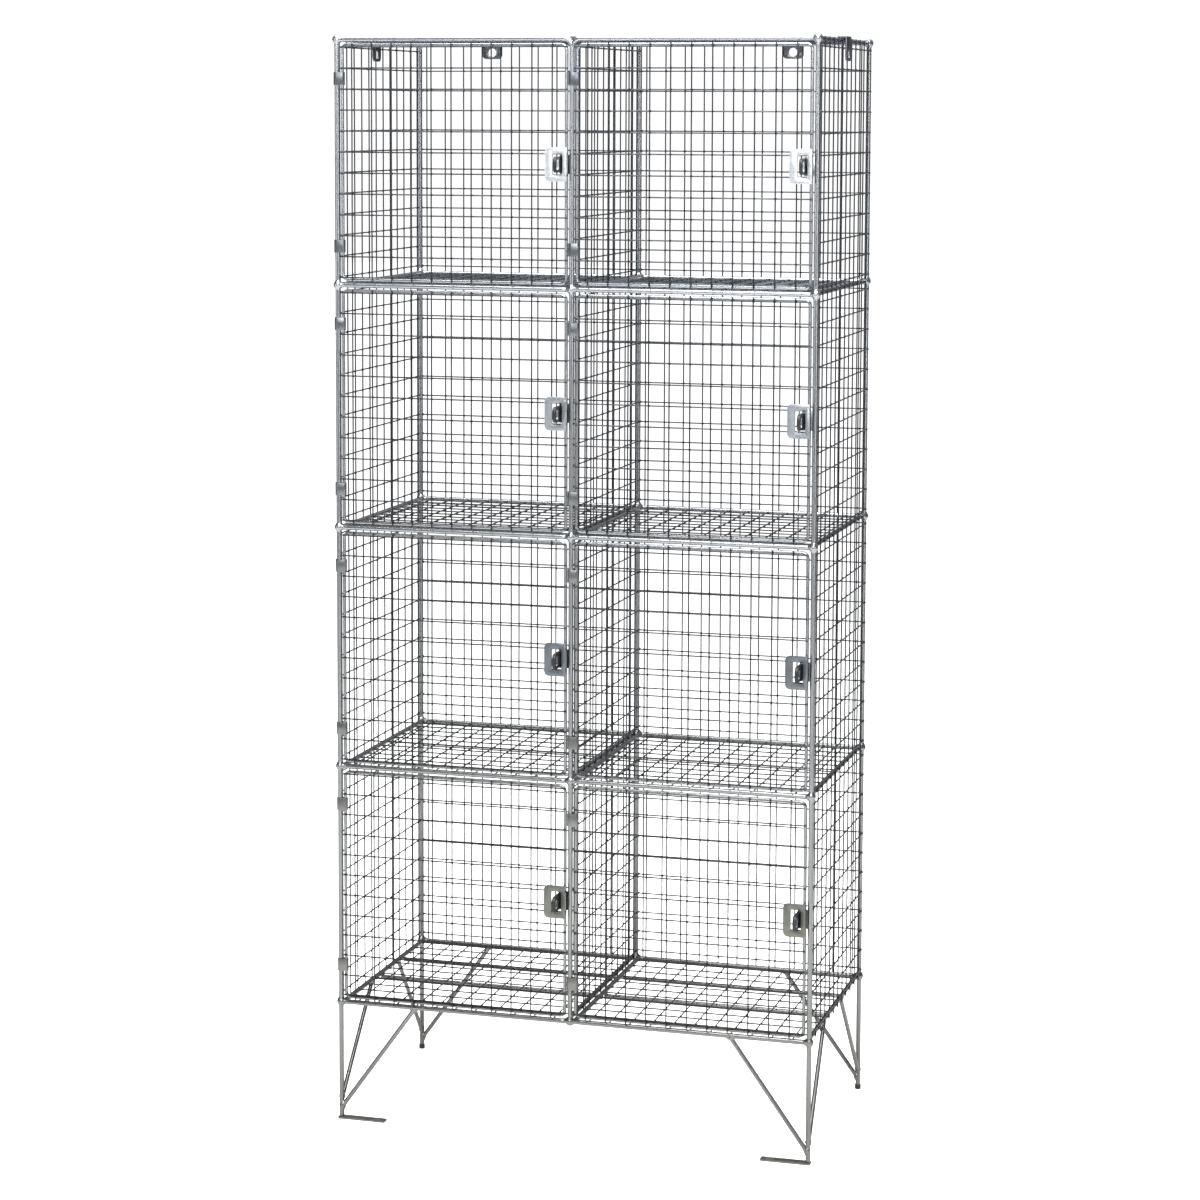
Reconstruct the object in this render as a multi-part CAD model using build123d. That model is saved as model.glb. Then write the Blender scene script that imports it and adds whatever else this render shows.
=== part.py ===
from build123d import *
import math
import os

os.makedirs("parts", exist_ok=True)

# Wire-mesh locker cabinet, two columns of four lockers. Millimetres, +Z up, front towards -Y.
# Origin: on the floor, midway between the slots of the two front feet.

# ---- overall sizes ----
overall_height = 1988.0
column_pitch = 440.0     # post centre to post centre, one locker wide
locker_depth = 440.0     # front post centre to rear post centre
leg_height = 220.0       # floor to the centre of the lowest shelf frame
tier_names = ["bottom", "lower", "upper", "top"]

# ---- stock ----
post_dia = 9.0
frame_dia = 9.0          # rod of the shelf frames and header rails
door_dia = 6.0           # rod of the door frames
wire_dia = 2.5
mesh_pitch = 37.5
bead_r = 8.0             # weld build-up where a shelf frame meets a post
frame_bend = 9.0         # bend radii are to the centre line of the rod
door_bend = 10.0

# ---- doors ----
door_gap = 2.5           # door to the posts and shelf frames around it
row_margin = 5.0         # outermost crosswise wire to the outer edge of the door
hinge_margin = 25.0      # least distance from the hinge post to the first upright wire
clip_sheet = 1.5
clip_clearance = 0.3     # clip to the post it turns on
clip_to_wire = 6.0

# ---- latch plate ----
plate_t = 2.0
plate_height = 60.0
plate_corner = 9.0
plate_chamfer = 1.5
slot_width = 18.0
slot_height = 38.0
slot_corner = 2.0
slot_land = 8.0          # slot to the edge beside the latch post
slot_inner_land = 14.0   # slot to the edge on the mesh
slot_to_wire = 0.25

# ---- padlock staple ----
staple_t = 5.5
staple_reach = 38.0      # latch post centre to the tip
staple_corner = 10.0
staple_to_wire = 3.5
staple_off_centre = 3.0  # towards the latch post, from the middle of the plate slot
padlock_hole = 11.0
padlock_land = 6.5       # metal in front of the padlock hole
padlock_rim = 5.0        # metal above and below it
bracket_t = 3.0
bracket_gap = 0.8        # behind the door stile
bracket_to_wire = 0.5

# ---- mesh panels ----
panel_overlap = 1.0      # upright wires sit this far outside the post centres
panel_margin = 13.0      # least distance from a post centre to an upright wire
shelf_margin = 4.0       # least distance from a shelf rod to a shelf wire

# ---- top ----
header_bend = 16.0
header_turn = 75.0       # degrees the header rails turn down into the divider post

# ---- legs ----
brace_dia = 8.0
brace_start_front = 20.0 # floor to the foot of the brace that runs sideways
brace_start_side = 34.0  # floor to the foot of the brace that runs front to back
brace_run_front = 145.0
brace_run_side = 150.0
foot_t = 4.0
foot_width = 16.0
foot_inward = 86.0
foot_outward = 5.0
foot_corner = 2.0
foot_slot_inward = 69.0
foot_slot_length = 19.6
foot_slot_width = 9.0
cap_wall = 1.2
cap_floor = 2.0
cap_height = 9.0
stiffener_dia = 8.0
stiffener_front = 200.0  # from the front posts
stiffener_rear = 325.0

# ---- wall tabs ----
tab_t = 3.0
tab_width = 40.0
tab_to_mesh = 0.25
tab_hole_dia = 16.5
rear_hole_drop = 16.0    # top frame centre to the hole of a rear tab
side_hole_drop = 24.0    # and of a side tab, which clears the top row of the side mesh
tab_hole_rim = 4.0
tab_corner = 9.0

# ---- derived positions ----
post_r = post_dia / 2
frame_r = frame_dia / 2
door_r = door_dia / 2
wire_r = wire_dia / 2
tiers = len(tier_names)
top_z = overall_height - bead_r
tier_pitch = (top_z - leg_height) / tiers
levels = [leg_height + i * tier_pitch for i in range(tiers + 1)]
tier_centres = [z + tier_pitch / 2 for z in levels[:-1]]
front_y = 0.0
rear_y = locker_depth
outer_x = column_pitch

upright_at = panel_overlap                        # panel wires, measured outwards from the posts
row_at = upright_at + wire_dia
frame_inset = frame_r - (upright_at - wire_r)     # post centre to a shelf rod beside a panel
divider_inset = wire_dia + frame_r                # divider centre to the shelf rod beside it

door_edge = post_r + door_gap                     # post centre to the edge of the door
stile_at = door_edge + door_r                     # post centre to the door stile
door_half = tier_pitch / 2 - frame_r - door_gap
row_y = front_y - door_r - wire_r                 # crosswise door wires
upright_y = row_y - wire_dia                      # upright door wires, in front of them
plate_y = upright_y - wire_r                      # back of the latch plate
rows_half = int((door_half - row_margin) / mesh_pitch + 0.5)
row_offsets = [(i + 0.5) * mesh_pitch for i in range(-rows_half, rows_half)]

slot_right = door_edge + slot_land                # these run from the latch post to the hinge
slot_left = slot_right + slot_width
plate_left = slot_left + slot_inner_land
last_wire_at = slot_left + slot_to_wire + wire_r
staple_at = slot_left - slot_width / 2 - staple_off_centre


def save(name, *solids):
    """Write one node of the assembly to its own file."""
    whole = solids[0] if len(solids) == 1 else Compound(children=list(solids))
    export_step(whole, f"parts/{name}.step")


def rod(start, end, dia):
    """A straight round rod between two points."""
    axis = Vector(*end) - Vector(*start)
    return Solid.make_cylinder(dia / 2, axis.length, Plane(start, z_dir=axis))


def rod_loop(width, height, bend, dia):
    """A closed rectangle of round rod in the XY plane, measured to its centre line."""
    reach_x = width / 2 - bend
    reach_y = height / 2 - bend
    pieces = []
    for side in (-1, 1):
        pieces.append(rod((-reach_x, side * height / 2, 0), (reach_x, side * height / 2, 0), dia))
        pieces.append(rod((side * width / 2, -reach_y, 0), (side * width / 2, reach_y, 0), dia))
    for turn, sx, sy in ((0, 1, 1), (90, -1, 1), (180, -1, -1), (270, 1, -1)):
        corner = Solid.make_torus(bend, dia / 2, major_angle=90)
        pieces.append(Pos(sx * reach_x, sy * reach_y, 0) * Rot(0, 0, turn) * corner)
    return pieces[0].fuse(*pieces[1:]).solid()


def coped(shape, *around):
    """What is left of a piece after it is cut to fit round its neighbours."""
    return max(shape.cut(*around).solids(), key=lambda piece: piece.volume)


def evenly(count):
    """Wire positions either side of a centre."""
    return [(i - (count - 1) / 2) * mesh_pitch for i in range(count)]


def even_count(half_room):
    """The largest even number of wires that leaves the middle free for a fixing."""
    return 2 * int(half_room / mesh_pitch + 0.5)


# ---- shelf frames ----
# Each is a ring of rod, coped round the posts. The ring of the top level stands behind the
# header rail, so its front is one rod further back.
def shelf_ring(side, z):
    setback = frame_dia if z == top_z else 0
    front = front_y + setback
    rear = rear_y - frame_inset
    width = outer_x - frame_inset - divider_inset
    middle = Vector(side * (divider_inset + width / 2), (front + rear) / 2, z)
    return width, rear - front, middle


post_spots = [(x, y) for x in (-outer_x, 0, outer_x) for y in (front_y, rear_y)]
post_rods = [rod((x, y, 0), (x, y, overall_height), post_dia) for x, y in post_spots]
level_names = ["floor", "lower_shelf", "middle_shelf", "upper_shelf", "roof"]
rings = {}
for name, z in zip(level_names, levels):
    rings[name] = []
    for side in (-1, 1):
        width, depth, middle = shelf_ring(side, z)
        ring = Pos(middle) * rod_loop(width, depth, frame_bend, frame_dia)
        rings[name].append(coped(ring, *post_rods))
    save(f"{name}_frame", *rings[name])
all_rings = [ring for pair in rings.values() for ring in pair]


# ---- shelf mesh ----
# Front-to-back wires lie on the crosswise wires; both butt against the frame rods.
for name, z in zip(level_names, levels):
    wires = []
    for side in (-1, 1):
        width, depth, middle = shelf_ring(side, z)
        half_x = width / 2 - frame_r
        half_y = depth / 2 - frame_r
        lengthwise = int(2 * (half_x - wire_r - shelf_margin) / mesh_pitch) + 1
        crosswise = int(2 * (half_y - wire_r - shelf_margin) / mesh_pitch) + 1
        for dx in evenly(lengthwise):
            x = middle.X + dx
            wires.append(rod((x, middle.Y - half_y, z + wire_r), (x, middle.Y + half_y, z + wire_r), wire_dia))
        for dy in evenly(crosswise):
            y = middle.Y + dy
            wires.append(rod((middle.X - half_x, y, z - wire_r), (middle.X + half_x, y, z - wire_r), wire_dia))
    save(f"{name}_mesh", *wires)


# ---- header rails ----
# One rod along the top of each column, turned down to meet in a notch on the divider post.
header_end = header_bend * math.sin(math.radians(header_turn))
bend = Solid.make_torus(header_bend, frame_r, major_angle=header_turn)
bend = Pos(header_end, front_y, top_z - header_bend) * Rot(90, 0, 0) * Rot(0, 0, 90) * bend
straight = rod((header_end, front_y, top_z), (outer_x, front_y, top_z), frame_dia)
half_header = straight.fuse(bend).solid()
header = half_header.fuse(half_header.mirror(Plane.YZ)).solid()
header = coped(header, *post_rods[0:1], *post_rods[4:5])
save("header_rails", header)


# ---- posts ----
def post(x, y, foot, head, bead_levels):
    body = rod((x, y, foot), (x, y, head), post_dia)
    beads = [Pos(x, y, z) * Solid.make_sphere(bead_r, angle1=-90, angle2=90) for z in bead_levels]
    return coped(body.fuse(*beads).solid(), *all_rings, header)


divider_foot = leg_height - frame_r
divider_head = top_z - header_bend + header_bend * math.cos(math.radians(header_turn))
save("post_front_left", post(-outer_x, front_y, foot_t, top_z, levels))
save("post_front_right", post(outer_x, front_y, foot_t, top_z, levels))
save("post_rear_left", post(-outer_x, rear_y, cap_floor, top_z, levels))
save("post_rear_right", post(outer_x, rear_y, cap_floor, top_z, levels))
save("divider_post_front", post(0, front_y, divider_foot, divider_head, levels[:-1]))
save("divider_post_rear", post(0, rear_y, divider_foot, top_z, levels))


# ---- side, rear and divider mesh ----
# Uprights rest on the outside of the shelf frames. Rows lie on the uprights and end on the posts.
# An even number of each keeps the middle of every gap pattern free for the tabs and latches,
# and the rear mesh has no top row, where its tabs hang.
panel_rows = [z + dz for z in tier_centres for dz in row_offsets]
panel_foot = leg_height - frame_r
panel_head = top_z + frame_r - tab_to_mesh


def row_end(offset):
    """Post centre to the end of a row that runs this far to one side of it."""
    nearest = max(offset - wire_r, 0)
    return math.sqrt(post_r ** 2 - nearest ** 2)


def side_panel(x_upright, x_row, end):
    wires = []
    for dy in evenly(even_count(locker_depth / 2 - panel_margin)):
        y = locker_depth / 2 + dy
        wires.append(rod((x_upright, y, panel_foot), (x_upright, y, panel_head), wire_dia))
    for z in panel_rows:
        wires.append(rod((x_row, front_y + end, z), (x_row, rear_y - end, z), wire_dia))
    return wires


save("side_mesh_left", *side_panel(-outer_x - upright_at, -outer_x - row_at, row_end(row_at)))
save("side_mesh_right", *side_panel(outer_x + upright_at, outer_x + row_at, row_end(row_at)))
save("divider_mesh", *side_panel(-wire_r, wire_r, row_end(wire_r)))

rear_wires = []
for side in (-1, 1):
    for dx in evenly(even_count(column_pitch / 2 - panel_margin)):
        x = side * column_pitch / 2 + dx
        rear_wires.append(rod((x, rear_y + upright_at, panel_foot), (x, rear_y + upright_at, panel_head), wire_dia))
    near = side * row_end(row_at)
    far = side * (outer_x - row_end(row_at))
    for z in panel_rows[:-1]:
        rear_wires.append(rod((near, rear_y + row_at, z), (far, rear_y + row_at, z), wire_dia))
save("rear_mesh", *rear_wires)


# ---- legs ----
# Two braces at each leg, coped to the post and to the lowest shelf frame.
braces = []
for sx in (-1, 1):
    for y, sy in ((front_y, 1), (rear_y, -1)):
        rail_y = y if sy > 0 else y - frame_inset
        foot = (sx * outer_x, y, brace_start_front)
        head = (sx * (outer_x - brace_run_front), rail_y, leg_height)
        braces.append(coped(rod(foot, head, brace_dia), *post_rods, *rings["floor"]))
        foot = (sx * outer_x, y, brace_start_side)
        head = (sx * (outer_x - frame_inset), y + sy * brace_run_side, leg_height)
        braces.append(coped(rod(foot, head, brace_dia), *post_rods, *rings["floor"]))
save("leg_braces", *braces)

stiffeners = []
stiffener_z = leg_height - frame_r - stiffener_dia / 2
for side in (-1, 1):
    for y in (stiffener_front, stiffener_rear):
        ends = [(side * divider_inset, y, stiffener_z), (side * (outer_x - frame_inset), y, stiffener_z)]
        stiffeners.append(rod(*ends, stiffener_dia))
save("floor_stiffeners", *stiffeners)

feet = []
for side in (-1, 1):
    length = foot_inward + foot_outward
    middle_x = side * (outer_x - foot_inward + length / 2)
    slot_x = side * (outer_x - foot_slot_inward)
    blank = Pos(middle_x, front_y) * RectangleRounded(length, foot_width, foot_corner)
    blank -= Pos(slot_x, front_y) * SlotOverall(foot_slot_length, foot_slot_width)
    feet.append(extrude(blank, foot_t).solid())
save("front_feet", *feet)

caps = []
for side in (-1, 1):
    shell = Cylinder(post_r + cap_wall, cap_height, align=(Align.CENTER, Align.CENTER, Align.MIN))
    cap = Pos(side * outer_x, rear_y, 0) * fillet(shell.edges().sort_by(Axis.Z)[-1], cap_wall / 2)
    seat = rod((side * outer_x, rear_y, cap_floor), (side * outer_x, rear_y, 2 * cap_height), post_dia)
    caps.append(cap.cut(seat).solid())
save("rear_leg_caps", *caps)


# ---- wall tabs ----
# A plate that hangs outside the mesh from a lip hooked over the top frame. Built with the rod
# of the top frame at its origin and the wall towards +Y.
plate_in = frame_inset + row_at + wire_r + tab_to_mesh
plate_out = plate_in + tab_t
tab_top = frame_r + tab_t


def wall_tab(hole_drop):
    bottom = -hole_drop - tab_hole_dia / 2 - tab_hole_rim
    plate = Pos(0, (tab_top + bottom) / 2) * Rectangle(tab_width, tab_top - bottom)
    plate = fillet(plate.vertices().sort_by(Axis.Y)[:2], tab_corner)
    plate -= Pos(0, -hole_drop) * Circle(tab_hole_dia / 2)
    hanger = Pos(0, plate_out, 0) * Rot(90, 0, 0) * extrude(plate, tab_t)
    lip = Pos(0, (plate_out - frame_r) / 2, tab_top - tab_t / 2) * Box(tab_width, plate_out + frame_r, tab_t)
    hanger = hanger.fuse(lip).solid()
    bend = hanger.edges().filter_by(Axis.X).sort_by(lambda edge: edge.center().Y + edge.center().Z)[-1]
    return fillet(bend, tab_t / 2).solid()


tab_x = column_pitch / 2 + 2 * mesh_pitch
rail_out = outer_x - frame_inset
tabs = [
    Pos(-tab_x, rear_y - frame_inset, top_z) * wall_tab(rear_hole_drop),
    Pos(tab_x, rear_y - frame_inset, top_z) * wall_tab(rear_hole_drop),
    Pos(-rail_out, locker_depth / 2, top_z) * Rot(0, 0, 90) * wall_tab(side_hole_drop),
    Pos(rail_out, locker_depth / 2, top_z) * Rot(0, 0, -90) * wall_tab(side_hole_drop),
]
save("wall_tabs", *tabs)


# ---- padlock staples ----
# A bracket welded behind the latch post carries a plate that comes forward through the door.
staple_height = mesh_pitch - wire_dia - 2 * staple_to_wire
bracket_height = mesh_pitch - wire_dia - 2 * bracket_to_wire
bracket_front = front_y + door_r + bracket_gap
bracket_back = bracket_front + bracket_t
tongue = Pos((bracket_back - staple_reach) / 2, 0) * Rectangle(bracket_back + staple_reach, staple_height)
tongue = fillet(tongue.vertices().sort_by(Axis.X)[:2], staple_corner)
eye_at = padlock_land + padlock_hole / 2 - staple_reach
eye_height = staple_height - 2 * padlock_rim
tongue -= Pos(eye_at, 0) * RectangleRounded(padlock_hole, eye_height, padlock_hole / 2 - 0.5)
staples = []
for latch_x in (0, outer_x):
    for z in tier_centres:
        far_x = latch_x - staple_at - staple_t / 2
        plate = Plane((far_x, 0, z), x_dir=(0, 1, 0), z_dir=(1, 0, 0)) * extrude(tongue, staple_t)
        bracket_x = (far_x + latch_x) / 2
        web = Pos(bracket_x, (bracket_front + bracket_back) / 2, z)
        web = web * Box(latch_x - far_x, bracket_t, bracket_height)
        staples.append(coped(plate.fuse(web).solid(), *post_rods))
save("lock_staples", *staples)


# ---- doors ----
# Each is a rod frame with mesh on its front, a slotted latch plate and two clips round the post.
def strap(post_radius, stile_radius, height):
    """A solid wrapped round the post and the stile, with the post at its origin."""
    lean = math.acos((post_radius - stile_radius) / stile_at)
    near = (post_radius * math.cos(lean), post_radius * math.sin(lean))
    far = (stile_at + stile_radius * math.cos(lean), stile_radius * math.sin(lean))
    web = Polygon((near[0], -near[1]), (far[0], -far[1]), far, near, align=None)
    web = extrude(web, height)
    eye = Solid.make_cylinder(post_radius, height)
    return web.fuse(eye, Pos(stile_at, 0) * Solid.make_cylinder(stile_radius, height)).solid()


clip_height = mesh_pitch - wire_dia - 2 * clip_to_wire
clip_reach = (rows_half - 2) * mesh_pitch
clip = strap(post_r + clip_clearance + clip_sheet, door_r + clip_sheet, clip_height)
clip = clip.cut(strap(post_r + clip_clearance, door_r, clip_height)).solid()

plate_width = plate_left - door_edge
latch = Pos(-door_edge - plate_width / 2, 0) * Rectangle(plate_width, plate_height)
latch = fillet(latch.vertices().sort_by(Axis.X)[:2], plate_corner)
latch = chamfer(latch.vertices().sort_by(Axis.X)[-2:], plate_chamfer)
latch -= Pos(-slot_left + slot_width / 2, 0) * RectangleRounded(slot_width, slot_height, slot_corner)
latch = Pos(0, plate_y, 0) * Rot(90, 0, 0) * extrude(latch, plate_t)

frame_width = column_pitch - 2 * stile_at
frame_height = 2 * (door_half - door_r)
door_frame = Rot(90, 0, 0) * rod_loop(frame_width, frame_height, door_bend, door_dia)

upright_count = int((column_pitch - last_wire_at - hinge_margin) / mesh_pitch) + 1
for column, hinge_x in (("left", -outer_x), ("right", 0)):
    latch_x = hinge_x + column_pitch
    for tier, z in zip(tier_names, tier_centres):
        door = f"door_{column}_{tier}"
        save(f"{door}_frame", Pos((hinge_x + latch_x) / 2, front_y, z) * door_frame)
        wires = []
        for i in range(upright_count):
            x = latch_x - last_wire_at - i * mesh_pitch
            wires.append(rod((x, upright_y, z - door_half), (x, upright_y, z + door_half), wire_dia))
        for dz in row_offsets:
            ends = [(hinge_x + door_edge, row_y, z + dz), (latch_x - door_edge, row_y, z + dz)]
            wires.append(rod(*ends, wire_dia))
        save(f"{door}_mesh", *wires)
        save(f"{door}_latch_plate", Pos(latch_x, 0, z) * latch)
        clips = [Pos(hinge_x, front_y, z + dz - clip_height / 2) * clip for dz in (-clip_reach, clip_reach)]
        save(f"{door}_hinge_clips", *clips)
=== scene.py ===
import math
import random

import bmesh
import bpy
from mathutils import Matrix, Vector, noise


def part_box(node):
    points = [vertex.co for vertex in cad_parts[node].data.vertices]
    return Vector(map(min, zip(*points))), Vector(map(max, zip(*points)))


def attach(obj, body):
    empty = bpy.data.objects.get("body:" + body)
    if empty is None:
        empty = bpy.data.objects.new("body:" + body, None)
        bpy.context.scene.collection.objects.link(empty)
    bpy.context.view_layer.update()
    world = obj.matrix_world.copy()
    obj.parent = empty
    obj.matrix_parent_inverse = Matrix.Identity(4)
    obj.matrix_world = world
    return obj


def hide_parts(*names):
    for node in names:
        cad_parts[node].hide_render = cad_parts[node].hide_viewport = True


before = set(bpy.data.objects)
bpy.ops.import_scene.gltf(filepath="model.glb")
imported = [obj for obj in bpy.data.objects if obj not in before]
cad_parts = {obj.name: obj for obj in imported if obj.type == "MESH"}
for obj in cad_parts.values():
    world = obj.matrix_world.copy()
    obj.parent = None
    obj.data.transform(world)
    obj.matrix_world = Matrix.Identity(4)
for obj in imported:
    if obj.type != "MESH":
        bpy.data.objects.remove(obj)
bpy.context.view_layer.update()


# ---- Camera, floor and studio light ----
# A long lens from just above the cabinet's shoulder, a little to its right. The cabinet stands
# on a plain white floor between large soft panels, as bright metal is lit.
camera = bpy.data.objects.new("camera", bpy.data.cameras.new("camera"))
camera.location = (1.56242, -5.16367, 1.85445)
turn, dip, roll = 0.2805, 0.09, 0.00342
level_aim = Matrix.Rotation(turn, 3, "Z") @ Matrix.Rotation(math.pi / 2 - dip, 3, "X")
aim = level_aim @ Matrix.Rotation(roll, 3, "Z")
camera.rotation_euler = aim.to_euler()
camera.data.sensor_width = 36
camera.data.lens = 91.911
camera.data.shift_x = -0.0101
camera.data.shift_y = -0.1774
bpy.context.collection.objects.link(camera)
bpy.context.scene.camera = camera


def put(tree, kind, inputs=None, **settings):
    """Adds one node, with its settings, and fills or links its inputs."""
    node = tree.nodes.new(kind)
    for name, value in settings.items():
        setattr(node, name, value)
    for key, value in (inputs or {}).items():
        if isinstance(value, bpy.types.NodeSocket):
            tree.links.new(value, node.inputs[key])
        else:
            node.inputs[key].default_value = value
    return node


def linear(code):
    """A linear colour from an sRGB hex value."""
    channels = [int(code[i:i + 2], 16) / 255 for i in (1, 3, 5)]
    return tuple(c / 12.92 if c <= 0.04045 else ((c + 0.055) / 1.055) ** 2.4 for c in channels) + (1.0,)


def new_material(name):
    """An empty node material and its tree."""
    material = bpy.data.materials.new(name)
    material.use_nodes = True
    material.node_tree.nodes.clear()
    return material, material.node_tree


# White sweep of painted floor, matt with a faint cloudiness. To the lens alone it also glows
# evenly, so that it runs into the background with no horizon and throws no light up the rods.
floor_paint, tree = new_material("matt_white_studio_sweep")
place = put(tree, "ShaderNodeTexCoord").outputs["Object"]
cloud = put(tree, "ShaderNodeTexNoise", {"Vector": place, "Scale": 0.8, "Detail": 2.0}).outputs[0]
tone = put(tree, "ShaderNodeMix",
           {"Factor": cloud, "A": linear("#F4F4F4"), "B": linear("#EFEFEE")}, data_type="RGBA")
seen = put(tree, "ShaderNodeLightPath").outputs["Is Camera Ray"]
shader = put(tree, "ShaderNodeBsdfPrincipled", {
    "Base Color": tone.outputs["Result"], "Roughness": 0.9,
    "Emission Color": linear("#FFFFFF"), "Emission Strength": seen})
put(tree, "ShaderNodeOutputMaterial", {"Surface": shader.outputs[0]})

floor_size = 60
bpy.ops.mesh.primitive_plane_add(size=floor_size)
floor = bpy.context.object
floor.name = "studio_floor"
floor.data.materials.append(floor_paint)

world = bpy.data.worlds.new("studio")
bpy.context.scene.world = world
world.use_nodes = True
tree = world.node_tree
tree.nodes.clear()
seen = put(tree, "ShaderNodeLightPath").outputs["Is Camera Ray"]
white = put(tree, "ShaderNodeBackground", {"Color": linear("#FFFFFF"), "Strength": 1.05})

# A paler hanging backdrop behind the cabinet and dim walls all round, as polished metal sees them.
way = put(tree, "ShaderNodeSeparateXYZ", {"Vector": put(tree, "ShaderNodeTexCoord").outputs["Generated"]})
behind = put(tree, "ShaderNodeMapRange", {"Value": way.outputs["Y"], "From Min": 0.1, "From Max": 0.55})
raised = put(tree, "ShaderNodeMapRange", {"Value": way.outputs["Z"], "From Min": 0.10, "From Max": 0.32})
hung = put(tree, "ShaderNodeMath", {0: behind.outputs[0], 1: raised.outputs[0]}, operation="MULTIPLY")
glow = put(tree, "ShaderNodeMapRange", {"Value": hung.outputs[0], "To Min": 0.14, "To Max": 0.55})
room = put(tree, "ShaderNodeBackground", {"Color": linear("#EDEEF0"), "Strength": glow.outputs[0]})
mix = put(tree, "ShaderNodeMixShader", {0: seen, 1: room.outputs[0], 2: white.outputs[0]})
put(tree, "ShaderNodeOutputWorld", {"Surface": mix.outputs[0]})
bpy.context.scene.view_settings.view_transform = "Standard"

for name, spot, target, width, height, power in (
        ("front_panel", (0.6, -5.2, 3.4), (0, 0.2, 1.0), 3.0, 2.4, 150),
        ("left_panel", (-3.6, -3.0, 1.9), (0, 0.2, 1.1), 1.0, 2.6, 30),
        ("right_panel", (3.8, -2.4, 1.6), (0, 0.2, 1.0), 0.8, 2.4, 25),
        ("top_panel", (0.2, -0.7, 4.6), (0, -0.2, 1.0), 3.4, 4.2, 400)):
    lamp = bpy.data.lights.new(name, "AREA")
    lamp.shape = "RECTANGLE"
    lamp.size = width
    lamp.size_y = height
    lamp.energy = power
    panel = bpy.data.objects.new(name, lamp)
    panel.location = spot
    panel.rotation_euler = (Vector(target) - Vector(spot)).to_track_quat("-Z", "Y").to_euler()
    bpy.context.collection.objects.link(panel)


# ---- Rod frame: posts, shelf frames, header rails, braces and door frames ----
# Cold-drawn mild steel rod, bent and welded, then bright zinc plated as one piece. The plating
# keeps a soft sheen with faint drawing marks; towards the floor it is painted darker and straw-coloured, as
# painted shade.
columns = ["left", "right"]
tier_names = ["bottom", "lower", "upper", "top"]
level_names = ["floor", "lower_shelf", "middle_shelf", "upper_shelf", "roof"]


def zinc_plate(name, light, dark, floor_shade_colour, rough_low, rough_high, grain_mm, grain_depth_mm, cloud_mm):
    """Zinc plate: cloudy brightness, painted shade that darkens and warms it towards the floor, and fine grain
    in the gloss.
    """
    material, tree = new_material(name)
    place = put(tree, "ShaderNodeTexCoord").outputs["Object"]
    cloud = put(tree, "ShaderNodeTexNoise",
                {"Vector": place, "Scale": 1000 / cloud_mm, "Detail": 2.0, "Roughness": 0.5})
    spread = put(tree, "ShaderNodeMapRange", {"Value": cloud.outputs[0], "From Min": 0.35, "From Max": 0.68})
    tone = put(tree, "ShaderNodeMix",
               {"Factor": spread.outputs[0], "A": linear(light), "B": linear(dark)}, data_type="RGBA")
    height = put(tree, "ShaderNodeSeparateXYZ", {"Vector": place}).outputs["Z"]
    # Painted shade: by height alone, the colour is pulled darker and straw-coloured towards the floor.
    painted_floor_shade = put(tree, "ShaderNodeMapRange",
                {"Value": height, "From Min": 0.0, "From Max": 1.7, "To Min": 0.85, "To Max": 0.0})
    tone_with_floor_shade = put(tree, "ShaderNodeMix",
               {"Factor": painted_floor_shade.outputs[0], "A": tone.outputs["Result"], "B": linear(floor_shade_colour)}, data_type="RGBA")
    grain = put(tree, "ShaderNodeTexNoise", {"Vector": place, "Scale": 1000 / grain_mm, "Detail": 3.0})
    gloss = put(tree, "ShaderNodeMapRange", {
        "Value": cloud.outputs[0], "From Min": 0.3, "From Max": 0.7,
        "To Min": rough_low, "To Max": rough_high})
    bump = put(tree, "ShaderNodeBump",
               {"Height": grain.outputs[0], "Strength": 0.6, "Distance": grain_depth_mm / 1000})
    shader = put(tree, "ShaderNodeBsdfPrincipled", {
        "Base Color": tone_with_floor_shade.outputs["Result"], "Metallic": 1.0,
        "Roughness": gloss.outputs[0], "Normal": bump.outputs[0]})
    put(tree, "ShaderNodeOutputMaterial", {"Surface": shader.outputs[0]})
    return material


# Drawn rod, zinc plated: a smooth satin grey with soft broad gloss. The drawing marks are too
# fine to show, so they are drawn at 3 mm and very shallow.
# Its last colour, a dark straw grey, is painted shade near the floor.
zinc_rod = zinc_plate("zinc_plated_drawn_rod", "#BDC1C6", "#ABAFB4", "#6A6A62", 0.24, 0.30, 3.0, 0.005, 140)

rod_nodes = ["post_front_left", "post_front_right", "post_rear_left", "post_rear_right",
             "divider_post_front", "divider_post_rear", "header_rails", "leg_braces", "floor_stiffeners"]
rod_nodes += [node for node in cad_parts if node.endswith("_frame")]
for node in rod_nodes:
    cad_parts[node].data.materials.clear()
    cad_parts[node].data.materials.append(zinc_rod)


# ---- Welded wire mesh ----
# Panels of 2.5 mm steel wire at 37.5 mm, resistance welded where they cross, then cut to size
# and zinc plated with the frame. Rows lie against the uprights, and no wire is quite straight.
wire_radius = 0.00125
mesh_pitch = 0.0375
rows_per_tier = 12

# Thin plated wire, plated with the rod but painted much darker than it: painted shade for the dim room it
# mirrors and for its dark edges, with a harder highlight along it. Its grain is too fine to show, so it is
# drawn at 1.5 mm.
zinc_wire = zinc_plate("zinc_plated_mesh_wire", "#5A5E63", "#3A3E43", "#2A2924", 0.22, 0.34, 1.5, 0.01, 90)

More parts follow.
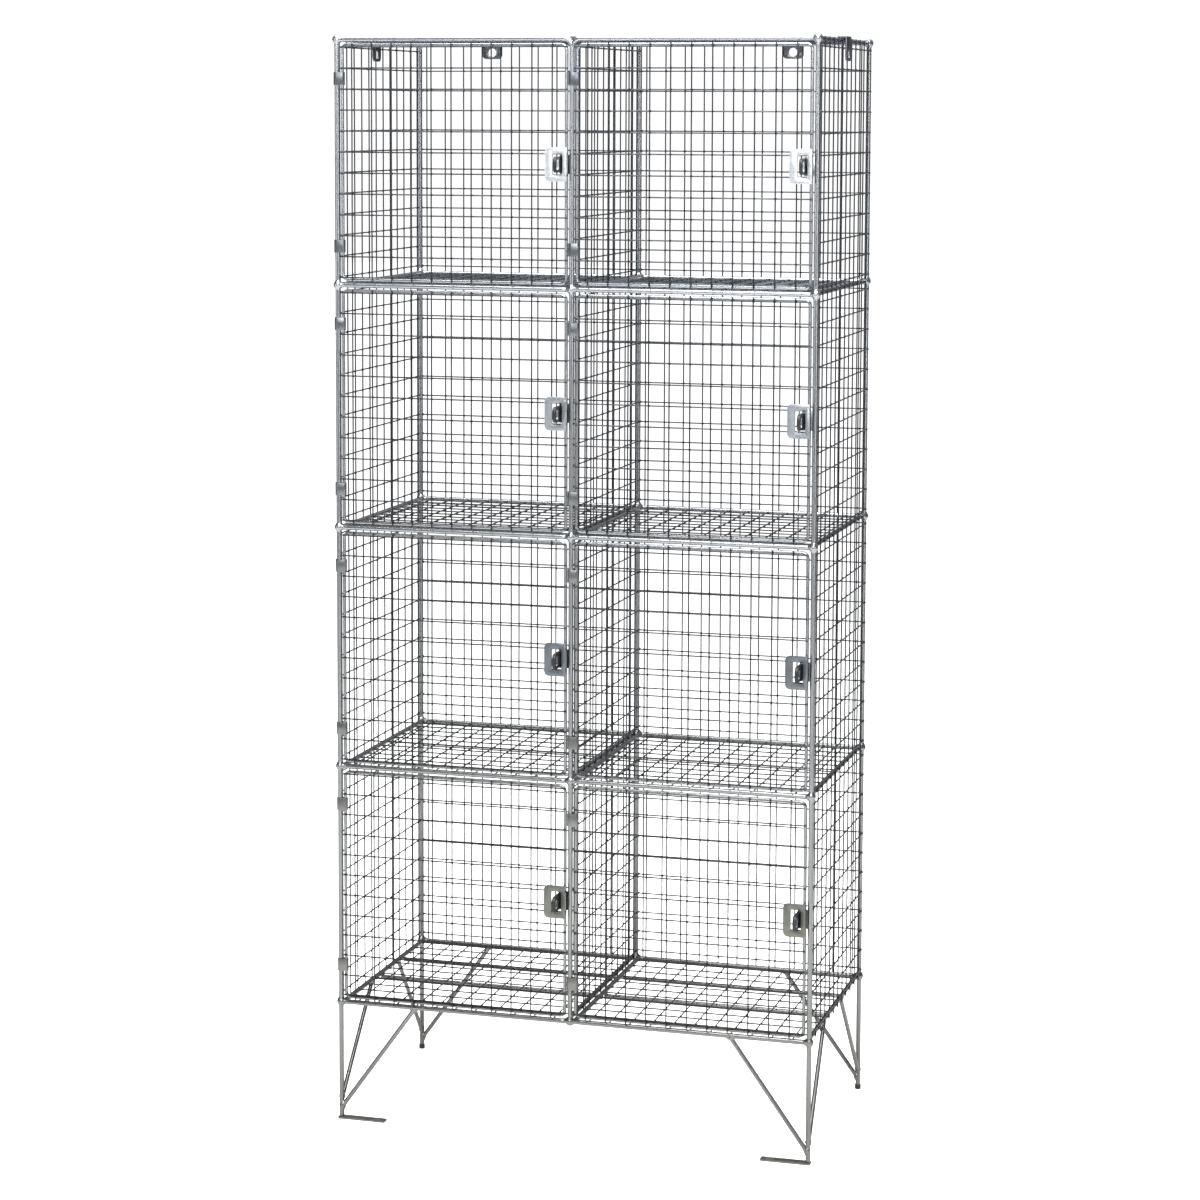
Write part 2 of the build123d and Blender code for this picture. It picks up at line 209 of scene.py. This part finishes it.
wire_panel = bpy.data.node_groups.new("welded_wire_panel", "GeometryNodeTree")
for name, kind, value in (
        ("Uprights", "NodeSocketInt", 12), ("Upright First", "NodeSocketFloat", -0.20625),
        ("Foot", "NodeSocketFloat", -0.21), ("Head", "NodeSocketFloat", 0.21),
        ("Rows", "NodeSocketInt", rows_per_tier), ("Rows in a Tier", "NodeSocketInt", rows_per_tier),
        ("Tier Pitch", "NodeSocketFloat", 0.44),
        ("Row First", "NodeSocketFloat", -0.20625), ("Row Start", "NodeSocketFloat", -0.21),
        ("Row End", "NodeSocketFloat", 0.21), ("Pitch", "NodeSocketFloat", mesh_pitch),
        ("Wire Radius", "NodeSocketFloat", wire_radius), ("Nugget Radius", "NodeSocketFloat", 0.0021),
        ("End Weld Inset", "NodeSocketFloat", 0.0), ("Bow", "NodeSocketFloat", 0.0007),
        ("Bend Spacing", "NodeSocketFloat", 0.06),
        ("Seed", "NodeSocketInt", 0), ("Material", "NodeSocketMaterial", None)):
    socket = wire_panel.interface.new_socket(name=name, in_out="INPUT", socket_type=kind)
    if value is not None:
        socket.default_value = value
wire_panel.interface.new_socket(name="Geometry", in_out="OUTPUT", socket_type="NodeSocketGeometry")
given = put(wire_panel, "NodeGroupInput").outputs
index = put(wire_panel, "GeometryNodeInputIndex").outputs[0]
spot = put(wire_panel, "GeometryNodeInputPosition").outputs[0]

# How far each point strays from true, the same for both layers so that they stay in touch.
waves = put(wire_panel, "ShaderNodeTexNoise",
            {"Vector": spot, "W": given["Seed"], "Scale": 7.0, "Detail": 1.0}, noise_dimensions="4D")
centred = put(wire_panel, "ShaderNodeVectorMath",
              {0: waves.outputs["Color"], 1: (-0.5, -0.5, -0.5)}, operation="ADD")
stray = put(wire_panel, "ShaderNodeVectorMath",
            {0: centred.outputs[0], "Scale": given["Bow"]}, operation="SCALE")

# Uprights, on the front of the panel.
across = put(wire_panel, "ShaderNodeMath",
             {0: index, 1: given["Pitch"], 2: given["Upright First"]}, operation="MULTIPLY_ADD")
ahead = put(wire_panel, "ShaderNodeMath", {0: given["Wire Radius"], 1: -1.0}, operation="MULTIPLY")
foot = put(wire_panel, "ShaderNodeCombineXYZ",
           {"X": across.outputs[0], "Y": ahead.outputs[0], "Z": given["Foot"]})
upright_spots = put(wire_panel, "GeometryNodePoints",
                    {"Count": given["Uprights"], "Position": foot.outputs[0]})
tall = put(wire_panel, "ShaderNodeMath", {0: given["Head"], 1: given["Foot"]}, operation="SUBTRACT")
up = put(wire_panel, "ShaderNodeCombineXYZ", {"Z": tall.outputs[0]})
upright = put(wire_panel, "GeometryNodeCurvePrimitiveLine", {"End": up.outputs[0]})
upright = put(wire_panel, "GeometryNodeResampleCurve",
              {"Curve": upright.outputs[0], "Length": given["Bend Spacing"]}, mode="LENGTH")
uprights = put(wire_panel, "GeometryNodeInstanceOnPoints",
               {"Points": upright_spots.outputs[0], "Instance": upright.outputs[0]})

# Rows, behind them, in tiers with a wider gap where each shelf comes.
def row_height(row_number):
    """The height of a row from its number: a step of one pitch, and a jump at each shelf."""
    tier = put(wire_panel, "ShaderNodeMath", {0: row_number, 1: given["Rows in a Tier"]}, operation="DIVIDE")
    tier = put(wire_panel, "ShaderNodeMath", {0: tier.outputs[0]}, operation="FLOOR")
    in_tier = put(wire_panel, "ShaderNodeMath",
                  {0: row_number, 1: given["Rows in a Tier"]}, operation="MODULO")
    rise = put(wire_panel, "ShaderNodeMath",
               {0: in_tier.outputs[0], 1: given["Pitch"], 2: given["Row First"]}, operation="MULTIPLY_ADD")
    level = put(wire_panel, "ShaderNodeMath",
                {0: tier.outputs[0], 1: given["Tier Pitch"], 2: rise.outputs[0]}, operation="MULTIPLY_ADD")
    return level.outputs[0]


start = put(wire_panel, "ShaderNodeCombineXYZ",
            {"X": given["Row Start"], "Y": given["Wire Radius"], "Z": row_height(index)})
row_spots = put(wire_panel, "GeometryNodePoints", {"Count": given["Rows"], "Position": start.outputs[0]})
wide = put(wire_panel, "ShaderNodeMath", {0: given["Row End"], 1: given["Row Start"]}, operation="SUBTRACT")
along = put(wire_panel, "ShaderNodeCombineXYZ", {"X": wide.outputs[0]})
row = put(wire_panel, "GeometryNodeCurvePrimitiveLine", {"End": along.outputs[0]})
row = put(wire_panel, "GeometryNodeResampleCurve",
          {"Curve": row.outputs[0], "Length": given["Bend Spacing"]}, mode="LENGTH")
rows = put(wire_panel, "GeometryNodeInstanceOnPoints",
           {"Points": row_spots.outputs[0], "Instance": row.outputs[0]})

lines = put(wire_panel, "GeometryNodeJoinGeometry")
wire_panel.links.new(uprights.outputs[0], lines.inputs[0])
wire_panel.links.new(rows.outputs[0], lines.inputs[0])
lines = put(wire_panel, "GeometryNodeRealizeInstances", {"Geometry": lines.outputs[0]})
lines = put(wire_panel, "GeometryNodeSetPosition", {"Geometry": lines.outputs[0], "Offset": stray.outputs[0]})
section = put(wire_panel, "GeometryNodeCurvePrimitiveCircle",
              {"Resolution": 9, "Radius": given["Wire Radius"]})
wires = put(wire_panel, "GeometryNodeCurveToMesh",
            {"Curve": lines.outputs[0], "Profile Curve": section.outputs[0], "Fill Caps": True})

# A weld nugget at each crossing.
crossings = put(wire_panel, "ShaderNodeMath", {0: given["Uprights"], 1: given["Rows"]}, operation="MULTIPLY")
which_up = put(wire_panel, "ShaderNodeMath", {0: index, 1: given["Uprights"]}, operation="MODULO")
which_row = put(wire_panel, "ShaderNodeMath", {0: index, 1: given["Uprights"]}, operation="DIVIDE")
which_row = put(wire_panel, "ShaderNodeMath", {0: which_row.outputs[0]}, operation="FLOOR")
across = put(wire_panel, "ShaderNodeMath",
             {0: which_up.outputs[0], 1: given["Pitch"], 2: given["Upright First"]}, operation="MULTIPLY_ADD")
cross = put(wire_panel, "ShaderNodeCombineXYZ",
            {"X": across.outputs[0], "Z": row_height(which_row.outputs[0])})
nugget_spots = put(wire_panel, "GeometryNodePoints",
                   {"Count": crossings.outputs[0], "Position": cross.outputs[0]})

# And one at each end of a row, where it is welded to the rod.
ends = put(wire_panel, "ShaderNodeMath", {0: given["Rows"], 1: 2.0}, operation="MULTIPLY")
which_row = put(wire_panel, "ShaderNodeMath", {0: index, 1: given["Rows"]}, operation="MODULO")
far_end = put(wire_panel, "ShaderNodeMath", {0: index, 1: given["Rows"]}, operation="DIVIDE")
far_end = put(wire_panel, "ShaderNodeMath", {0: far_end.outputs[0]}, operation="FLOOR")
near_x = put(wire_panel, "ShaderNodeMath",
             {0: given["Row Start"], 1: given["End Weld Inset"]}, operation="ADD")
far_x = put(wire_panel, "ShaderNodeMath",
            {0: given["Row End"], 1: given["End Weld Inset"]}, operation="SUBTRACT")
reach = put(wire_panel, "ShaderNodeMath", {0: far_x.outputs[0], 1: near_x.outputs[0]}, operation="SUBTRACT")
end_x = put(wire_panel, "ShaderNodeMath",
            {0: far_end.outputs[0], 1: reach.outputs[0], 2: near_x.outputs[0]}, operation="MULTIPLY_ADD")
behind = put(wire_panel, "ShaderNodeMath", {0: given["Wire Radius"], 1: 1.8}, operation="MULTIPLY")
end = put(wire_panel, "ShaderNodeCombineXYZ",
          {"X": end_x.outputs[0], "Y": behind.outputs[0], "Z": row_height(which_row.outputs[0])})
end_spots = put(wire_panel, "GeometryNodePoints", {"Count": ends.outputs[0], "Position": end.outputs[0]})

weld_spots = put(wire_panel, "GeometryNodeJoinGeometry")
wire_panel.links.new(nugget_spots.outputs[0], weld_spots.inputs[0])
wire_panel.links.new(end_spots.outputs[0], weld_spots.inputs[0])
weld_spots = put(wire_panel, "GeometryNodeSetPosition",
                 {"Geometry": weld_spots.outputs[0], "Offset": stray.outputs[0]})
nugget = put(wire_panel, "GeometryNodeMeshUVSphere",
             {"Segments": 7, "Rings": 4, "Radius": given["Nugget Radius"]})
lean = put(wire_panel, "FunctionNodeRandomValue",
           {0: (0, 0, 0), 1: (0.6, 3.1, 0.6), "Seed": given["Seed"]}, data_type="FLOAT_VECTOR")
girth = put(wire_panel, "FunctionNodeRandomValue",
            {0: (0.85, 0.7, 0.85), 1: (1.3, 1.0, 1.3), "Seed": given["Seed"]}, data_type="FLOAT_VECTOR")
nuggets = put(wire_panel, "GeometryNodeInstanceOnPoints", {
    "Points": weld_spots.outputs[0], "Instance": nugget.outputs[0],
    "Rotation": lean.outputs[0], "Scale": girth.outputs[0]})

panel = put(wire_panel, "GeometryNodeJoinGeometry")
wire_panel.links.new(wires.outputs[0], panel.inputs[0])
wire_panel.links.new(nuggets.outputs[0], panel.inputs[0])
panel = put(wire_panel, "GeometryNodeRealizeInstances", {"Geometry": panel.outputs[0]})
panel = put(wire_panel, "GeometryNodeSetShadeSmooth", {"Geometry": panel.outputs[0]})
panel = put(wire_panel, "GeometryNodeSetMaterial",
            {"Geometry": panel.outputs[0], "Material": given["Material"]})
put(wire_panel, "NodeGroupOutput", {"Geometry": panel.outputs[0]})


def weave(node, body, panels):
    """Makes the panels of one node, each from its sizes and its place, as one plain mesh."""
    whole = bmesh.new()
    for sizes, spot in panels:
        blank = bpy.data.objects.new("blank", bpy.data.meshes.new("blank"))
        bpy.context.collection.objects.link(blank)
        grid = blank.modifiers.new("grid", "NODES")
        grid.node_group = wire_panel
        for item in wire_panel.interface.items_tree:
            if item.name in sizes:
                grid[item.identifier] = sizes[item.name]
        bpy.context.view_layer.update()
        mesh = bpy.data.meshes.new_from_object(blank.evaluated_get(bpy.context.evaluated_depsgraph_get()))
        mesh.transform(spot)
        whole.from_mesh(mesh)
        bpy.data.objects.remove(blank)
    mesh = bpy.data.meshes.new(f"{node}_woven")
    whole.to_mesh(mesh)
    whole.free()
    mesh.materials.append(zinc_wire)
    piece = bpy.data.objects.new(f"{node}_woven", mesh)
    bpy.context.collection.objects.link(piece)
    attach(piece, body)
    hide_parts(node)


seed = 0
first_row = -(rows_per_tier - 1) / 2 * mesh_pitch

# Doors: eleven uprights in front of twelve rows, set over from the latch plate's slot.
door_uprights = 11
door_first_upright = 0.0275
for column in columns:
    for tier_name in tier_names:
        node = f"door_{column}_{tier_name}_mesh"
        low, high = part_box(node)
        middle = Vector((0, (low[1] + high[1]) / 2, (low[2] + high[2]) / 2))
        seed += 1
        weave(node, f"door_{column}_{tier_name}", [({
            "Uprights": door_uprights,
            "Upright First": high[0] - door_first_upright - (door_uprights - 1) * mesh_pitch,
            "Foot": low[2] - middle.z, "Head": high[2] - middle.z,
            "Rows": rows_per_tier, "Row First": first_row,
            "Row Start": low[0], "Row End": high[0], "End Weld Inset": 0.003,
            "Seed": seed, "Material": zinc_wire}, Matrix.Translation(middle))])

# Sides and divider: twelve uprights the whole height, and a set of rows for each tier.
roof_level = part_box("roof_mesh")[0][2] + 2 * wire_radius
floor_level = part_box("floor_mesh")[0][2] + 2 * wire_radius
tier_pitch = (roof_level - floor_level) / len(tier_names)
for node, facing in (("side_mesh_left", 90), ("side_mesh_right", -90), ("divider_mesh", -90)):
    low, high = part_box(node)
    middle = Vector(((low[0] + high[0]) / 2, (low[1] + high[1]) / 2, 0))
    half = (high[1] - low[1]) / 2
    seed += 1
    weave(node, "cabinet", [({
        "Uprights": 12, "Upright First": first_row, "Foot": low[2], "Head": high[2],
        "Rows": rows_per_tier * len(tier_names), "Tier Pitch": tier_pitch,
        "Row First": floor_level + tier_pitch / 2 + first_row,
        "Row Start": -half, "Row End": half, "Seed": seed, "Material": zinc_wire},
        Matrix.Translation(middle) @ Matrix.Rotation(math.radians(facing), 4, "Z"))])

# Rear: one panel behind each column, without the top row, where the wall tabs hang.
low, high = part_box("rear_mesh")
row_gap = 0.0039
panels = []
for side in (-1, 1):
    centre = Vector((side * (high[0] + row_gap) / 2, (low[1] + high[1]) / 2, 0))
    half = (high[0] - row_gap) / 2
    seed += 1
    panels.append(({
        "Uprights": 12, "Upright First": first_row, "Foot": low[2], "Head": high[2],
        "Rows": rows_per_tier * len(tier_names) - 1, "Tier Pitch": tier_pitch,
        "Row First": floor_level + tier_pitch / 2 + first_row,
        "Row Start": -half, "Row End": half, "Seed": seed, "Material": zinc_wire},
        Matrix.Translation(centre)))
weave("rear_mesh", "cabinet", panels)

# Shelves: in each column, wires from front to back lying on wires from side to side.
half_x = 0.209625
shelf_uprights = 11
for node in level_names:
    low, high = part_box(f"{node}_mesh")
    half_y = (high[1] - low[1]) / 2
    crosswise = rows_per_tier - 1 if node == "roof" else rows_per_tier
    panels = []
    for side in (-1, 1):
        centre = Vector((side * (high[0] - half_x), (low[1] + high[1]) / 2, (low[2] + high[2]) / 2))
        seed += 1
        panels.append(({
            "Uprights": shelf_uprights, "Upright First": -(shelf_uprights - 1) / 2 * mesh_pitch,
            "Foot": -half_y, "Head": half_y,
            "Rows": crosswise, "Row First": -(crosswise - 1) / 2 * mesh_pitch,
            "Row Start": -half_x, "Row End": half_x, "Seed": seed, "Material": zinc_wire},
            Matrix.Translation(centre) @ Matrix.Rotation(math.radians(-90), 4, "X")))
    weave(f"{node}_mesh", "cabinet", panels)


# ---- Weld knobs ----
# Where shelf frames, braces and feet meet a post the weld is built up in one go and left as it
# froze: a lumpy knob that runs out along each rod. It is plated with the rest.
def knob(whole, centre, rods, core, run_out, wander):
    """Adds one weld: a ball that flares along each rod it joins, with an uneven surface."""
    ball = bmesh.ops.create_icosphere(whole, subdivisions=3, radius=1)
    for vert in ball["verts"]:
        way = vert.co.normalized()
        flare = max([max(0.0, way.dot(Vector(rod).normalized())) ** 7 for rod in rods] + [0.0])
        lump = noise.noise(way * 1.7 + Vector(centre) * 90)
        lump += 0.5 * noise.noise(way * 4.1 + Vector(centre) * 60)
        vert.co = Vector(centre) + way * (core + run_out * flare + wander * lump)


levels = [floor_level + i * tier_pitch for i in range(len(level_names))]
welds = bmesh.new()
post_x = 0.440
rear_y = 0.440
brace_run_x = 0.145
brace_run_y = 0.150
for x in (-post_x, 0.0, post_x):
    for y in (0.0, rear_y):
        for i, z in enumerate(levels):
            if x == 0 and y == 0 and i == 4:
                continue
            rods = [(0, 1 if y == 0 else -1, 0)]
            rods += [(1, 0, 0)] if x < post_x else []
            rods += [(-1, 0, 0)] if x > -post_x else []
            rods += [(0, 0, 1)] if i < 4 else []
            rods += [(0, 0, -1)] if i > 0 or x else []
            knob(welds, (x, y, z), rods, 0.0078, 0.0050, 0.0009)
for x in (-post_x, post_x):
    inward = -1 if x > 0 else 1
    for y in (0.0, rear_y):
        back = 1 if y == 0 else -1
        side_brace = Vector((inward * brace_run_x, 0, 0.200))
        deep_brace = Vector((0, back * brace_run_y, 0.186))
        knob(welds, (x + inward * 0.002, y, 0.024), [side_brace, (0, 0, 1), (0, 0, -1)],
             0.0062, 0.0050, 0.0009)
        knob(welds, (x, y + back * 0.002, 0.040), [deep_brace, (0, 0, 1), (0, 0, -1)],
             0.0060, 0.0050, 0.0009)
        rail_y = y if y == 0 else y - 0.00475
        knob(welds, (x + inward * 0.142, rail_y, floor_level - 0.0035), [-side_brace, (1, 0, 0), (-1, 0, 0)],
             0.0052, 0.0040, 0.0007)
        knob(welds, (x + inward * 0.00475, y + back * 0.147, floor_level - 0.0035),
             [-deep_brace, (0, 1, 0), (0, -1, 0)], 0.0052, 0.0040, 0.0007)
mesh = bpy.data.meshes.new("weld_knobs")
welds.to_mesh(mesh)
welds.free()
mesh.materials.append(zinc_rod)
for face in mesh.polygons:
    face.use_smooth = True
weld_knobs = bpy.data.objects.new("weld_knobs", mesh)
bpy.context.collection.objects.link(weld_knobs)
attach(weld_knobs, "cabinet")


# ---- Latch plates, hinge clips, feet and wall tabs ----
# Blanked and folded from zinc plated strip, 1.5 to 4 mm thick, with edges broken by tumbling.
# The plates are welded to the stile with a run of small beads that were never dressed.
pressed_zinc, tree = new_material("zinc_plated_pressed_strip")
place = put(tree, "ShaderNodeTexCoord").outputs["Object"]
height = put(tree, "ShaderNodeSeparateXYZ", {"Vector": place}).outputs["Z"]
height_for_painted_light = put(tree, "ShaderNodeMapRange", {"Value": height, "From Min": 0.0, "From Max": 2.0})
# Painted light and shade by height: the plates are painted brighter high on the cabinet, duller and more
# straw-coloured low down.
shade = put(tree, "ShaderNodeValToRGB", {"Fac": height_for_painted_light.outputs[0]})
shade.color_ramp.elements[0].position = 0.20
shade.color_ramp.elements[0].color = linear("#76776C")
shade.color_ramp.elements[1].position = 0.88
shade.color_ramp.elements[1].color = linear("#DFE3E7")
for position, code in ((0.44, "#6E747B"), (0.66, "#A3A8AE")):
    shade.color_ramp.elements.new(position).color = linear(code)
spangle = put(tree, "ShaderNodeTexNoise",
              {"Vector": place, "Scale": 1000 / 9, "Detail": 5.0, "Roughness": 0.65})
patch = put(tree, "ShaderNodeMapRange",
            {"Value": spangle.outputs[0], "From Min": 0.42, "From Max": 0.72, "To Max": 0.35})
tone = put(tree, "ShaderNodeMix",
           {"Factor": patch.outputs[0], "A": shade.outputs[0], "B": linear("#7D858D")}, data_type="RGBA")
brush = put(tree, "ShaderNodeMapping", {"Vector": place, "Scale": (250, 250, 2500)})
scuff = put(tree, "ShaderNodeTexNoise", {"Vector": brush.outputs[0], "Scale": 1.0, "Detail": 3.0})
gloss = put(tree, "ShaderNodeMapRange",
            {"Value": scuff.outputs[0], "From Min": 0.3, "From Max": 0.7, "To Min": 0.28, "To Max": 0.5})
bump = put(tree, "ShaderNodeBump", {"Height": scuff.outputs[0], "Strength": 0.4, "Distance": 0.0001})
shader = put(tree, "ShaderNodeBsdfPrincipled", {
    "Base Color": tone.outputs["Result"], "Metallic": 0.85,
    "Roughness": gloss.outputs[0], "Normal": bump.outputs[0]})
put(tree, "ShaderNodeOutputMaterial", {"Surface": shader.outputs[0]})


# The other strip is rolled a little darker than the plates; its rolling grain is drawn at 3 mm.
# Its last colour is painted shade near the floor, as on the rod.
rolled_zinc = zinc_plate("zinc_plated_rolled_strip", "#868B91", "#5F646A", "#7C7B72", 0.26, 0.42, 3.0, 0.05, 25)


def finished(name, nodes, body, materials, edge, extra=None):
    """A copy of CAD nodes, welded shut, with broken edges and anything extra added."""
    whole = bmesh.new()
    for node in nodes:
        whole.from_mesh(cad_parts[node].data)
    bmesh.ops.remove_doubles(whole, verts=whole.verts, dist=1e-6)
    bmesh.ops.dissolve_limit(whole, angle_limit=math.radians(1), verts=whole.verts, edges=whole.edges)
    mesh = bpy.data.meshes.new(name)
    whole.to_mesh(mesh)
    whole.free()
    rough = bpy.data.objects.new("rough", mesh)
    bpy.context.collection.objects.link(rough)
    bevel = rough.modifiers.new("broken_edge", "BEVEL")
    bevel.width = edge
    bevel.segments = 2
    bevel.limit_method = "ANGLE"
    bevel.angle_limit = math.radians(35)
    bevel.use_clamp_overlap = False
    bpy.context.view_layer.update()
    mesh = bpy.data.meshes.new_from_object(rough.evaluated_get(bpy.context.evaluated_depsgraph_get()))
    bpy.data.objects.remove(rough)
    if extra:
        whole = bmesh.new()
        whole.from_mesh(mesh)
        extra(whole)
        whole.to_mesh(mesh)
        whole.free()
    mesh.name = name
    mesh.materials.clear()
    for material in materials:
        mesh.materials.append(material)
    for face in mesh.polygons:
        face.use_smooth = True
    mesh.set_sharp_from_angle(angle=math.radians(32))
    piece = bpy.data.objects.new(name, mesh)
    bpy.context.collection.objects.link(piece)
    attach(piece, body)
    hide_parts(*nodes)
    return piece


random.seed(11)
for column in columns:
    for tier_name in tier_names:
        door = f"door_{column}_{tier_name}"
        low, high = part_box(f"{door}_latch_plate")

        def stile_beads(whole):
            for i in range(7):
                z = low[2] + 0.006 + i * (high[2] - low[2] - 0.012) / 6 + random.uniform(-0.002, 0.002)
                spot = (high[0] - 0.0022, low[1] + random.uniform(0.0008, 0.0022), z)
                knob(whole, spot, [(0, 0, 1), (0, 0, -1)], random.uniform(0.0012, 0.0022), 0.0008, 0.0004)

        finished(f"{door}_plate", [f"{door}_latch_plate"], door, [pressed_zinc], 0.0004,
                 stile_beads)
        finished(f"{door}_clips", [f"{door}_hinge_clips"], door, [rolled_zinc], 0.0003)
finished("front_feet_finished", ["front_feet"], "cabinet", [rolled_zinc], 0.0006)
finished("wall_tabs_finished", ["wall_tabs"], "cabinet", [rolled_zinc], 0.0005)


# ---- Padlock staples ----
# A steel tongue that comes forward through each latch plate for the padlock, welded to the
# latch post and dipped black. The padlock has worn its eye back to bare metal.
black_dip, tree = new_material("black_dipped_steel")
place = put(tree, "ShaderNodeTexCoord").outputs["Object"]
runs = put(tree, "ShaderNodeTexNoise", {"Vector": place, "Scale": 1000 / 6, "Detail": 4.0})
tone = put(tree, "ShaderNodeMix",
           {"Factor": runs.outputs[0], "A": linear("#1B1D20"), "B": linear("#34363A")}, data_type="RGBA")
gloss = put(tree, "ShaderNodeMapRange",
            {"Value": runs.outputs[0], "From Min": 0.3, "From Max": 0.7, "To Min": 0.3, "To Max": 0.5})
bump = put(tree, "ShaderNodeBump", {"Height": runs.outputs[0], "Strength": 0.5, "Distance": 0.0002})
shader = put(tree, "ShaderNodeBsdfPrincipled", {
    "Base Color": tone.outputs["Result"], "Metallic": 0.3,
    "Roughness": gloss.outputs[0], "Normal": bump.outputs[0]})
put(tree, "ShaderNodeOutputMaterial", {"Surface": shader.outputs[0]})

staples = finished("lock_staples_finished", ["lock_staples"], "cabinet", [black_dip, pressed_zinc],
                   0.0005)
tier_centres = [(levels[i] + levels[i + 1]) / 2 for i in range(len(tier_names))]
eye_front, eye_back, eye_half_height = -0.0326, -0.0194, 0.0101
for face in staples.data.polygons:
    off_centre = min(abs(face.center.z - z) for z in tier_centres)
    in_eye = (eye_front < face.center.y < eye_back and off_centre < eye_half_height
              and abs(face.normal.x) < 0.75)
    bracket = face.center.x > 0.2 and face.center.y > -0.002
    face.material_index = 1 if in_eye or bracket else 0


# ---- Rear leg caps ----
# Moulded black polythene caps pushed on to the two rear legs to keep them off the floor finish.
cap_plastic, tree = new_material("moulded_black_polythene")
place = put(tree, "ShaderNodeTexCoord").outputs["Object"]
skin = put(tree, "ShaderNodeTexNoise", {"Vector": place, "Scale": 1000 / 1.2, "Detail": 2.0})
dust = put(tree, "ShaderNodeTexNoise", {"Vector": place, "Scale": 1000 / 14, "Detail": 3.0})
tone = put(tree, "ShaderNodeMix",
           {"Factor": dust.outputs[0], "A": linear("#17181A"), "B": linear("#3A3B3C")}, data_type="RGBA")
gloss = put(tree, "ShaderNodeMapRange",
            {"Value": dust.outputs[0], "From Min": 0.3, "From Max": 0.7, "To Min": 0.4, "To Max": 0.62})
bump = put(tree, "ShaderNodeBump", {"Height": skin.outputs[0], "Strength": 0.4, "Distance": 0.0001})
shader = put(tree, "ShaderNodeBsdfPrincipled", {
    "Base Color": tone.outputs["Result"], "Roughness": gloss.outputs[0], "Normal": bump.outputs[0]})
shader.inputs["IOR"].default_value = 1.51
put(tree, "ShaderNodeOutputMaterial", {"Surface": shader.outputs[0]})
finished("rear_leg_caps_finished", ["rear_leg_caps"], "cabinet", [cap_plastic], 0.0003)
